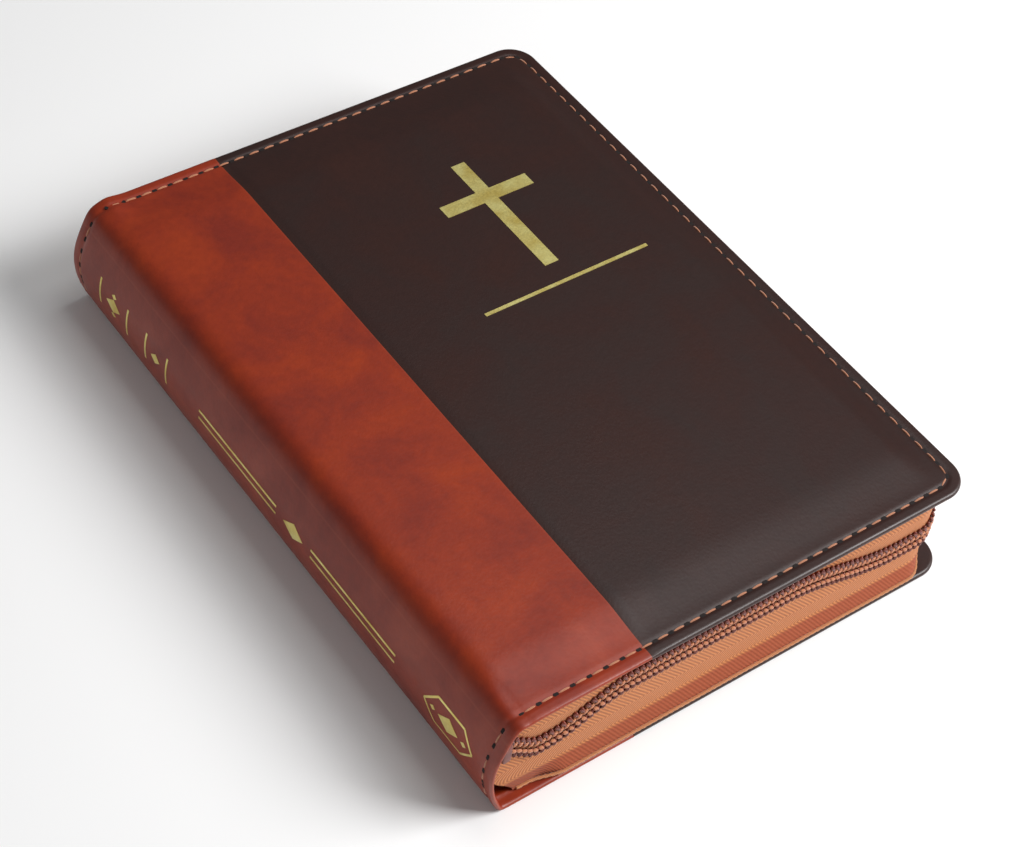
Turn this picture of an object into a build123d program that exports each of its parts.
from build123d import *
import math
import os

# A zip-round leather Bible lying on its back cover, title side up, millimetres.
# X runs from the spine to the fore-edge, Y from the tail to the head, Z up from the table.
# The origin is on the table under the middle of the closed case.

os.makedirs("parts", exist_ok=True)

# Case
cover_length = 222.0  # tail edge to head edge
cover_reach = 158.0  # spine fold to fore-edge, each cover
corner_radius = 9.0  # fore corners of the covers
dark_panel_width = 115.8  # fore-edge to the seam with the spine wrap
leather = 1.4
turn_in = 0.6  # leather folded under along the edges
turn_in_width = 12.0
board = 0.8
front_foam = 1.1
back_foam = 0.6  # the same foam, pressed flat under the weight of the book
pillow_foot = 8.0  # cover edge to the foot of the padded rise
pillow_radius = 8.0  # fore corners of the rise
board_radius = 4.0  # fore corners of the boards
end_ramp = 12.0  # width of the rise at head and tail
fore_ramp = 7.0
lining = 0.6
lining_start = 1.0  # spine end of a cover to its lining
pastedown = 0.2
pastedown_margin = 2.0

# Spine wrap: three panels between four folds, which add up to a half turn
side_panel = 12.0
side_turn = 60.0  # degrees, at the fold beside each cover
middle_turn = 30.0  # degrees, at each edge of the middle panel
panel_gap = 0.25  # left at the tightest corner of a fold
low_fold_gap = 0.1  # more at the fold where the rear panel only lies against the middle one

# Text block
block_thickness = 29.9
block_end_gap = 5.2  # tape to the pages' head and tail
block_back_gap = 0.0  # spine fold to the block's back
page_corner = 8.0
back_radius = 60.0  # rounding of the block's back
section_gap = 0.3  # between page sections that move apart
flyleaf = 0.3
mull = 0.4  # cloth glued over the block's back
mull_margin = 8.0
headband_radius = 0.9
ribbon_width = 10.0
ribbon = 0.3
ribbon_from_back = 32.0  # clear of the headbands when the pages shift
ribbon_tail_low = 6.0  # height of the ribbon's hanging end above the table

# Zipper
tape = 0.8
tape_inset = 3.0  # cover edge to the tape's outer face
tape_corner = 12.0
tape_start = 10.5  # spine bulge to the tapes' ends
hem_width = 6.0
fore_gap = 3.2  # tape to the pages' fore-edge
chain_drop = 9.1  # front cover's edge down to the middle of the chain
chain_slot = 1.6  # between the two coils
coil_width = 3.3
coil_depth = 2.2
stop_length = 3.0
stop_margin = 1.0  # tape end to a stop
stop_depth = 2.4
coil_release = 4.0  # the front coil stops this far short, so that the cover lifts clear

# Slider and pull
slider_length = 13.5
slider_wall = 1.2
running_gap = 0.35
post_width = 0.9
post_length = 3.0
slider_round = 2.5
bridge_length = 11.5
bridge_leg = 1.6
bridge_width = 3.0
bridge_wall = 1.0
pull_rod = 1.2
pull_gap = 0.4
pull_arm = 1.2
pull_neck = 8.5
pull_length = 33.0
pull_width = 8.0
pull_round = 2.0
pull_hole = 1.8  # radius

# Trim
stitch_inset = 4.0
stitch_start = 1.0  # spine end of a cover to the first stitch
groove_width = 1.0
groove_depth = 0.5
thread = 0.4
foil = 0.1
cross_height = 50.0
cross_span = 32.0
cross_arm = 5.0
cross_from_fore = 53.0
cross_y = 45.0
rule_length = 60.0
rule_below_cross = 8.0
rule_width = 1.2
spine_rules = (16.0, 40.0)  # from each end of the spine
spine_mark = 28.0
lozenge = 6.0

# Worked-out levels
flange = leather + turn_in
back_inside = leather + back_foam + board
block_bottom = back_inside + lining + pastedown
block_top = block_bottom + block_thickness
block_middle = block_bottom + block_thickness / 2
front_flange_low = 2 * block_middle - flange  # both covers lie level when the book is open
front_flange_top = front_flange_low + flange
pillow_height = board + front_foam + leather - flange
chain_height = front_flange_low - chain_drop

# Worked-out places in X and Y
half_length = cover_length / 2
beyond = 4 * cover_length  # a cutting block's side, larger than the whole case
side_run = side_panel * math.cos(math.radians(side_turn))
side_rise = side_panel * math.sin(math.radians(side_turn))
overall_width = cover_reach + side_run + flange / 2
fore_x = overall_width / 2
fold_x = fore_x - cover_reach
seam_x = fore_x - dark_panel_width
middle_panel = front_flange_low - 2 * side_rise
block_fore_x = fore_x - tape_inset - tape - fore_gap
block_back_x = fold_x + block_back_gap
tape_end_x = -overall_width / 2 + tape_start
tape_face_y = half_length - tape_inset
page_height = 2 * (tape_face_y - tape - block_end_gap)

# Fold lines of the spine wrap, from the back cover to the front cover, in the middle of its thickness
rear_fold = (fold_x, flange / 2)
low_fold = (fold_x - side_run, rear_fold[1] + side_rise)
high_fold = (low_fold[0], low_fold[1] + middle_panel)
front_fold = (fold_x, front_flange_low + flange / 2)
panel_folds = [
    ("rear", rear_fold, low_fold, side_turn),
    ("mid", low_fold, high_fold, side_turn + middle_turn),
    ("front", high_fold, front_fold, side_turn + 2 * middle_turn),
]

# Page sections, bottom to top
section_height = (block_thickness - 3 * section_gap) / 4
section_names = ["rear_lower", "rear_upper", "front_inner", "front_outer"]
section_lows = [block_bottom + i * (section_height + section_gap) for i in range(4)]


def fold_trim(turn):
    """How far a panel stops short of a fold, so that two panels clear each other as it turns."""
    return flange / 2 * math.tan(math.radians(turn / 2)) + panel_gap


def outline(level, end_inset, fore_inset, left_x, radius):
    """A face at one level from left_x to the fore-edge, with its two fore corners rounded."""
    width = fore_x - fore_inset - left_x
    length = cover_length - 2 * end_inset
    face = Pos(left_x + width / 2, 0) * Rectangle(width, length)
    fore_corners = face.vertices().sort_by(Axis.X)[-2:]
    return Pos(0, 0, level) * fillet(fore_corners, radius)


def plate(low, high, end_inset, fore_inset, left_x, radius):
    """A flat plate of that outline."""
    return extrude(outline(low, end_inset, fore_inset, left_x, radius), amount=high - low)


def band(low, high, inset, width, left_x, radius):
    """A wall that follows head, fore-edge and tail, open at the spine."""
    outer = plate(low, high, inset, inset, left_x, radius)
    inner = plate(low - 1, high + 1, inset + width, inset + width, left_x - 1, radius - width)
    return outer - inner


def rise(low, high, foot_inset, end_run, fore_run, left_x, left_run, radius):
    """A padded rise: a plate whose four sides slope in from its foot to its top."""
    foot = outline(low, foot_inset, foot_inset, left_x, radius)
    top = outline(high, foot_inset + end_run, foot_inset + fore_run, left_x + left_run, radius)
    return loft([foot, top], ruled=True)


def left_of(solid, x):
    """The part of a solid on the spine side of x."""
    return solid & Pos(x - beyond / 2, 0, 0) * Box(beyond, beyond, beyond)


def right_of(solid, x):
    """The part of a solid on the fore-edge side of x."""
    return solid & Pos(x + beyond / 2, 0, 0) * Box(beyond, beyond, beyond)


def at_end(solid, side):
    """The head half of a solid for side 1, the tail half for side -1."""
    return solid & Pos(0, side * beyond / 2, 0) * Box(beyond, beyond, beyond)


# Covers -----------------------------------------------------------------------------------

cover_left = fold_x + fold_trim(side_turn)
board_left = cover_left + turn_in_width
stitch_left = cover_left + stitch_start


def stitch_line(low, high, width):
    """A thread line round head, fore-edge and tail of a cover."""
    inset = stitch_inset - width / 2
    return band(low, high, inset, width, stitch_left, corner_radius - inset)


def front_board():
    low = front_flange_low
    return plate(low, low + board, turn_in_width, turn_in_width, board_left, board_radius)


def front_foam_pad():
    """Thin foam over the board, bevelled along its edges."""
    low = front_flange_low + board
    slope = end_ramp + pillow_foot - turn_in_width
    fore_slope = fore_ramp + pillow_foot - turn_in_width
    return rise(low, low + front_foam, turn_in_width, slope, fore_slope, board_left, slope, board_radius)


def front_leather():
    """The front cover's skin: a flat edge with a padded middle, hollow for board and foam."""
    skin = plate(front_flange_low, front_flange_top, 0, 0, cover_left, corner_radius)
    skin += rise(
        front_flange_top,
        front_flange_top + pillow_height,
        pillow_foot,
        end_ramp,
        fore_ramp,
        cover_left + pillow_foot,
        end_ramp,
        pillow_radius,
    )
    skin -= front_board()
    skin -= front_foam_pad()
    groove_low = front_flange_top - groove_depth
    return skin - stitch_line(groove_low, front_flange_top + 1, groove_width)


def back_foam_pad():
    return plate(leather, flange, turn_in_width, turn_in_width, board_left, board_radius)


def back_leather():
    """The back cover's skin, flat on the table, hollow for the foam."""
    skin = plate(0, flange, 0, 0, cover_left, corner_radius)
    skin -= back_foam_pad()
    return skin - stitch_line(-1, groove_depth, groove_width)


def back_board():
    return plate(flange, back_inside, turn_in_width, turn_in_width, board_left, board_radius)


lining_inset = tape_inset + hem_width
lining_radius = tape_corner - hem_width
lining_left = cover_left + lining_start


def front_lining():
    low = front_flange_low - lining
    return plate(low, front_flange_low, lining_inset, lining_inset, lining_left, lining_radius)


def back_lining():
    """The lining steps over the edge of the back board."""
    top = back_inside + lining
    tray = plate(flange, top, lining_inset, lining_inset, lining_left, lining_radius)
    return tray - back_board()


def cover_pastedown(low):
    """An endpaper leaf glued to a cover's lining."""
    margin = lining_inset + pastedown_margin
    left = lining_left + pastedown_margin
    return plate(low, low + pastedown, margin, margin, left, lining_radius - pastedown_margin)


def front_foil():
    """A plain cross above a ruled line, stamped on the padded front."""
    top = front_flange_top + pillow_height
    x = fore_x - cross_from_fore
    crossing_y = cross_y + cross_height / 2 - cross_span / 2
    shape = Pos(x, cross_y) * Rectangle(cross_arm, cross_height)
    shape += Pos(x, crossing_y) * Rectangle(cross_span, cross_arm)
    rule_y = cross_y - cross_height / 2 - rule_below_cross
    shape += Pos(x, rule_y) * Rectangle(rule_length, rule_width)
    return extrude(Pos(0, 0, top) * shape, amount=foil)


# Spine wrap -------------------------------------------------------------------------------


def on_panel(start, end, angle, solid):
    """Places a solid drawn flat, X along the panel and Z outwards, on the panel between two folds."""
    middle_x = (start[0] + end[0]) / 2
    middle_z = (start[1] + end[1]) / 2
    return Pos(middle_x, 0, middle_z) * Rot(0, 180 + angle, 0) * solid


def panel_length(start, end, name):
    """The panel's length between its two trimmed ends, and how far its middle is off centre."""
    whole = math.hypot(end[0] - start[0], end[1] - start[1])
    start_trim = fold_trim(side_turn if name == "rear" else middle_turn)
    end_trim = fold_trim(side_turn if name == "front" else middle_turn)
    if name == "rear":
        end_trim += low_fold_gap
    if name == "mid":
        start_trim += low_fold_gap
    return whole - start_trim - end_trim, (start_trim - end_trim) / 2


def spine_leather(name, start, end, angle):
    length, shift = panel_length(start, end, name)
    skin = Pos(shift, 0, flange / 2 - leather / 2) * Box(length, cover_length, leather)
    for side in (-1, 1):
        y = side * (half_length - stitch_inset)
        skin -= Pos(shift, y, flange / 2) * Box(length + 1, groove_width, 2 * groove_depth)
    return on_panel(start, end, angle, skin)


def spine_lining(name, start, end, angle):
    length, shift = panel_length(start, end, name)
    inner = cover_length - 2 * lining_inset
    sheet = Pos(shift, 0, flange / 2 - leather - lining / 2) * Box(length, inner, lining)
    return on_panel(start, end, angle, sheet)


def spine_stitching(name, start, end, angle):
    """Thread in the grooves at the spine's head and tail."""
    length, shift = panel_length(start, end, name)
    level = flange / 2 - groove_depth + thread / 2
    lines = []
    for side in (-1, 1):
        y = side * (half_length - stitch_inset)
        lines.append(on_panel(start, end, angle, Pos(shift, y, level) * Box(length, thread, thread)))
    return Compound(children=lines)


def spine_foil(name, start, end, angle):
    """Pairs of rules and a small lozenge near the head and the tail of the spine."""
    length, shift = panel_length(start, end, name)
    level = flange / 2 + foil / 2
    marks = []
    for side in (-1, 1):
        for from_end in spine_rules:
            y = side * (half_length - from_end)
            rule = Pos(shift, y, level) * Box(length - 2 * rule_width, rule_width, foil)
            marks.append(on_panel(start, end, angle, rule))
        y = side * (half_length - spine_mark)
        mark = Pos(shift, y, level) * Rot(0, 0, 45) * Box(lozenge, lozenge, foil)
        marks.append(on_panel(start, end, angle, mark))
    return Compound(children=marks)


# Text block -------------------------------------------------------------------------------


def back_line(level, outset=0.0):
    """X of the block's rounded back at a level, moved outwards by outset."""
    radius = back_radius + outset
    return block_back_x + back_radius - math.sqrt(radius**2 - (level - block_middle) ** 2)


def back_arc(low, high, outset=0.0):
    """The rounded back from one level to another, as an edge in the XZ plane."""
    middle = (low + high) / 2
    points = [(back_line(level, outset), level) for level in (low, middle, high)]
    return ThreePointArc(*points), points[0], points[2]


def page_stack(low, high):
    """Pages from one level to another: rounded back, rounded fore corners."""
    arc, start, end = back_arc(low, high)
    rest = Polyline(end, (block_fore_x, high), (block_fore_x, low), start)
    profile = Plane.XZ * make_face([arc, rest])
    stack = extrude(profile, amount=page_height / 2, both=True)
    end_inset = half_length - page_height / 2
    fore_inset = fore_x - block_fore_x
    corners = plate(low - 1, high + 1, end_inset, fore_inset, block_back_x - 2, page_corner)
    return stack & corners


def mull_strip(low, high):
    """Cloth on the back of one page section."""
    inner, inner_start, inner_end = back_arc(low, high)
    outer, outer_start, outer_end = back_arc(low, high, mull)
    sides = [Line(inner_end, outer_end), Line(outer_start, inner_start)]
    profile = Plane.XZ * make_face([inner, outer, *sides])
    return extrude(profile, amount=page_height / 2 - mull_margin, both=True)


def headbands(low, high):
    """A silk cord at the head and the tail of the block's back, over one page section."""
    x = back_line(low if low < block_middle else high) + 2 * headband_radius
    cords = []
    for side in (-1, 1):
        y = side * (page_height / 2 + headband_radius)
        cords.append(Pos(x, y, (low + high) / 2) * Cylinder(headband_radius, high - low))
    return Compound(children=cords)


ribbon_x = block_back_x + ribbon_from_back
ribbon_top = section_lows[1] + section_height


def ribbon_marker():
    """A ribbon along the opening, its end hanging inside the case at the tail."""
    head_y = page_height / 2
    tail_y = -page_height / 2 - ribbon - section_gap
    lying = head_y - tail_y
    flat = Pos(ribbon_x, (head_y + tail_y) / 2, ribbon_top - ribbon / 2) * Box(ribbon_width, lying, ribbon)
    drop = ribbon_top - ribbon_tail_low
    end = Pos(ribbon_x, tail_y + ribbon / 2, ribbon_top - drop / 2) * Box(ribbon_width, ribbon, drop)
    return flat + end


def ribbon_bed():
    """The shallow dent that the ribbon presses into the pages."""
    return Pos(ribbon_x, 0, ribbon_top) * Box(ribbon_width, 2 * page_height, 2 * ribbon)


# Zipper -----------------------------------------------------------------------------------

slot_half = chain_slot / 2
stop_x = tape_end_x + stop_margin
slider_x = stop_x + stop_length + running_gap
slider_end_x = slider_x + slider_length
coil_face = tape_inset - coil_depth


def front_tape():
    """Woven tape on the front cover: a hem under the leather's edge and a wall down to the chain."""
    wall = band(chain_height + slot_half, front_flange_low, tape_inset, tape, tape_end_x, tape_corner)
    hem_low = front_flange_low - lining
    hem = band(hem_low, front_flange_low, tape_inset, hem_width, tape_end_x, tape_corner)
    return wall + hem


def back_tape():
    """Woven tape on the back cover: a hem on the leather's edge and a wall up to the chain."""
    wall = band(flange, chain_height - slot_half, tape_inset, tape, tape_end_x, tape_corner)
    hem = band(flange, flange + lining, tape_inset, hem_width, tape_end_x, tape_corner)
    return wall + hem


def coil(low):
    """One side of the chain, on the outer face of its tape, as a plain bar."""
    radius = tape_corner + coil_depth
    return band(low, low + coil_width, coil_face, coil_depth, tape_end_x, radius)


def front_coil():
    bar = coil(chain_height + slot_half)
    head_start = slider_end_x + coil_release
    tail_start = stop_x + stop_length + coil_release
    return at_end(right_of(bar, head_start), 1) + at_end(right_of(bar, tail_start), -1)


def back_coil():
    bar = coil(chain_height - slot_half - coil_width)
    return right_of(bar, stop_x + stop_length + running_gap)


def top_stop(low):
    """A metal stop pinched on one tape at the head, at the spine end."""
    y = tape_face_y + stop_depth / 2
    x = stop_x + stop_length / 2
    return Pos(x, y, low + coil_width / 2) * Box(stop_length, stop_depth, coil_width)


def bottom_stop():
    """The box that ends the chain at the tail: fixed to the back tape, standing over the front tape."""
    x = stop_x + stop_length / 2
    foot_y = -tape_face_y - running_gap / 2
    foot_z = chain_height - slot_half - coil_width / 2
    foot = Pos(x, foot_y, foot_z) * Box(stop_length, running_gap, coil_width)
    depth = stop_depth - running_gap
    cap_y = -tape_face_y - running_gap - depth / 2
    cap = Pos(x, cap_y, chain_height) * Box(stop_length, depth, chain_slot + 2 * coil_width)
    return foot + cap


plate_y = tape_face_y + coil_depth + running_gap
inner_y = tape_face_y - tape - running_gap
flange_z = slot_half + coil_width + running_gap
slider_half = flange_z + slider_wall
plate_out_y = plate_y + slider_wall
bridge_in_y = plate_out_y + pull_rod + 2 * pull_gap
pull_y = plate_out_y + pull_gap + pull_rod / 2
pull_x = slider_x + slider_length / 2


def across(x0, x1, y0, y1, half_z):
    """A block between two X and two Y values, centred on the chain in Z."""
    middle = ((x0 + x1) / 2, (y0 + y1) / 2, chain_height)
    return Pos(*middle) * Box(x1 - x0, y1 - y0, 2 * half_z)


def slider_body():
    """Two plates joined by a post between the tapes, guide flanges and a bridge for the pull."""
    outer = across(slider_x, slider_end_x, plate_y, plate_out_y, slider_half)
    inner = across(slider_x, slider_end_x, inner_y - slider_wall, inner_y, slider_half)
    outer = fillet(outer.edges().filter_by(Axis.Y), slider_round)
    inner = fillet(inner.edges().filter_by(Axis.Y), slider_round)
    body = outer + inner
    body += across(slider_x, slider_x + post_length, inner_y, plate_y, post_width / 2)
    for side in (-1, 1):
        z = chain_height + side * (flange_z + slider_wall / 2)
        depth = coil_depth
        y = tape_face_y + running_gap + depth / 2
        rail = Pos(pull_x, y, z) * Box(slider_length - 2 * slider_round, depth, slider_wall)
        body += rail
    out_y = bridge_in_y + bridge_wall
    near = bridge_length / 2
    span = near - bridge_leg
    bridge = across(pull_x - near, pull_x + near, plate_out_y, out_y, bridge_width / 2)
    bridge -= across(pull_x - span, pull_x + span, plate_out_y, bridge_in_y, bridge_width)
    return body + bridge


def pull_tab():
    """A flat pull whose rod turns under the slider's bridge."""
    arm_in = bridge_width / 2 + pull_gap
    rod = Pos(pull_x, pull_y, chain_height) * Cylinder(pull_rod / 2, 2 * (arm_in + pull_arm))
    tab = rod
    for side in (-1, 1):
        z = chain_height + side * (arm_in + pull_arm / 2)
        arm = Pos(pull_x + pull_neck / 2, pull_y, z) * Box(pull_neck, pull_rod, pull_arm)
        tab += arm
    half_rod = pull_rod / 2
    blade_x = pull_x + pull_neck - pull_arm / 2
    blade = across(blade_x, pull_x + pull_length, pull_y - half_rod, pull_y + half_rod, pull_width / 2)
    blade = fillet(blade.edges().filter_by(Axis.Y), pull_round)
    hole_x = pull_x + pull_length - pull_width / 2
    hole = Pos(hole_x, pull_y, chain_height) * Rot(90, 0, 0) * Cylinder(pull_hole, 4 * pull_rod)
    return tab + blade - hole


# All the pieces ---------------------------------------------------------------------------

front_skin = front_leather()
back_skin = back_leather()
thread_low = front_flange_top - groove_depth
coil_low = chain_height - slot_half - coil_width

parts = {
    "back_cover_leather": right_of(back_skin, seam_x),
    "back_spine_wrap": left_of(back_skin, seam_x),
    "back_foam_pad": back_foam_pad(),
    "back_board": back_board(),
    "back_lining": back_lining(),
    "back_pastedown": cover_pastedown(back_inside + lining),
    "back_stitching": stitch_line(groove_depth - thread, groove_depth, thread),
    "front_cover_leather": right_of(front_skin, seam_x),
    "front_spine_wrap": left_of(front_skin, seam_x),
    "front_foam_pad": front_foam_pad(),
    "front_board": front_board(),
    "front_lining": front_lining(),
    "front_pastedown": cover_pastedown(front_flange_low - lining - pastedown),
    "front_stitching": stitch_line(thread_low, thread_low + thread, thread),
    "front_foil": front_foil(),
    "zipper_tape_front": front_tape(),
    "zipper_tape_back": back_tape(),
    "zipper_coil_front": front_coil(),
    "zipper_coil_back": back_coil(),
    "zipper_top_stop_front": top_stop(chain_height + slot_half),
    "zipper_top_stop_back": top_stop(coil_low),
    "zipper_bottom_stop": bottom_stop(),
    "slider_body": slider_body(),
    "pull_tab": pull_tab(),
    "ribbon_marker": ribbon_marker(),
}

for name, start, end, angle in panel_folds:
    parts["spine_leather_" + name] = spine_leather(name, start, end, angle)
    parts["spine_lining_" + name] = spine_lining(name, start, end, angle)
    parts["spine_stitching_" + name] = spine_stitching(name, start, end, angle)
    if name == "mid":
        parts["spine_foil"] = spine_foil(name, start, end, angle)

for name, low in zip(section_names, section_lows):
    high = low + section_height
    parts["mull_" + name] = mull_strip(low, high)
    parts["headbands_" + name] = headbands(low, high)
    if name == "rear_lower":
        parts["back_flyleaf"] = page_stack(low, low + flyleaf)
        low += flyleaf
    if name == "front_outer":
        parts["front_flyleaf"] = page_stack(high - flyleaf, high)
        high -= flyleaf
    pages = page_stack(low, high)
    if name == "rear_upper":
        pages -= ribbon_bed()
    parts["pages_" + name] = pages

for name, shape in parts.items():
    export_step(shape, "parts/" + name + ".step")
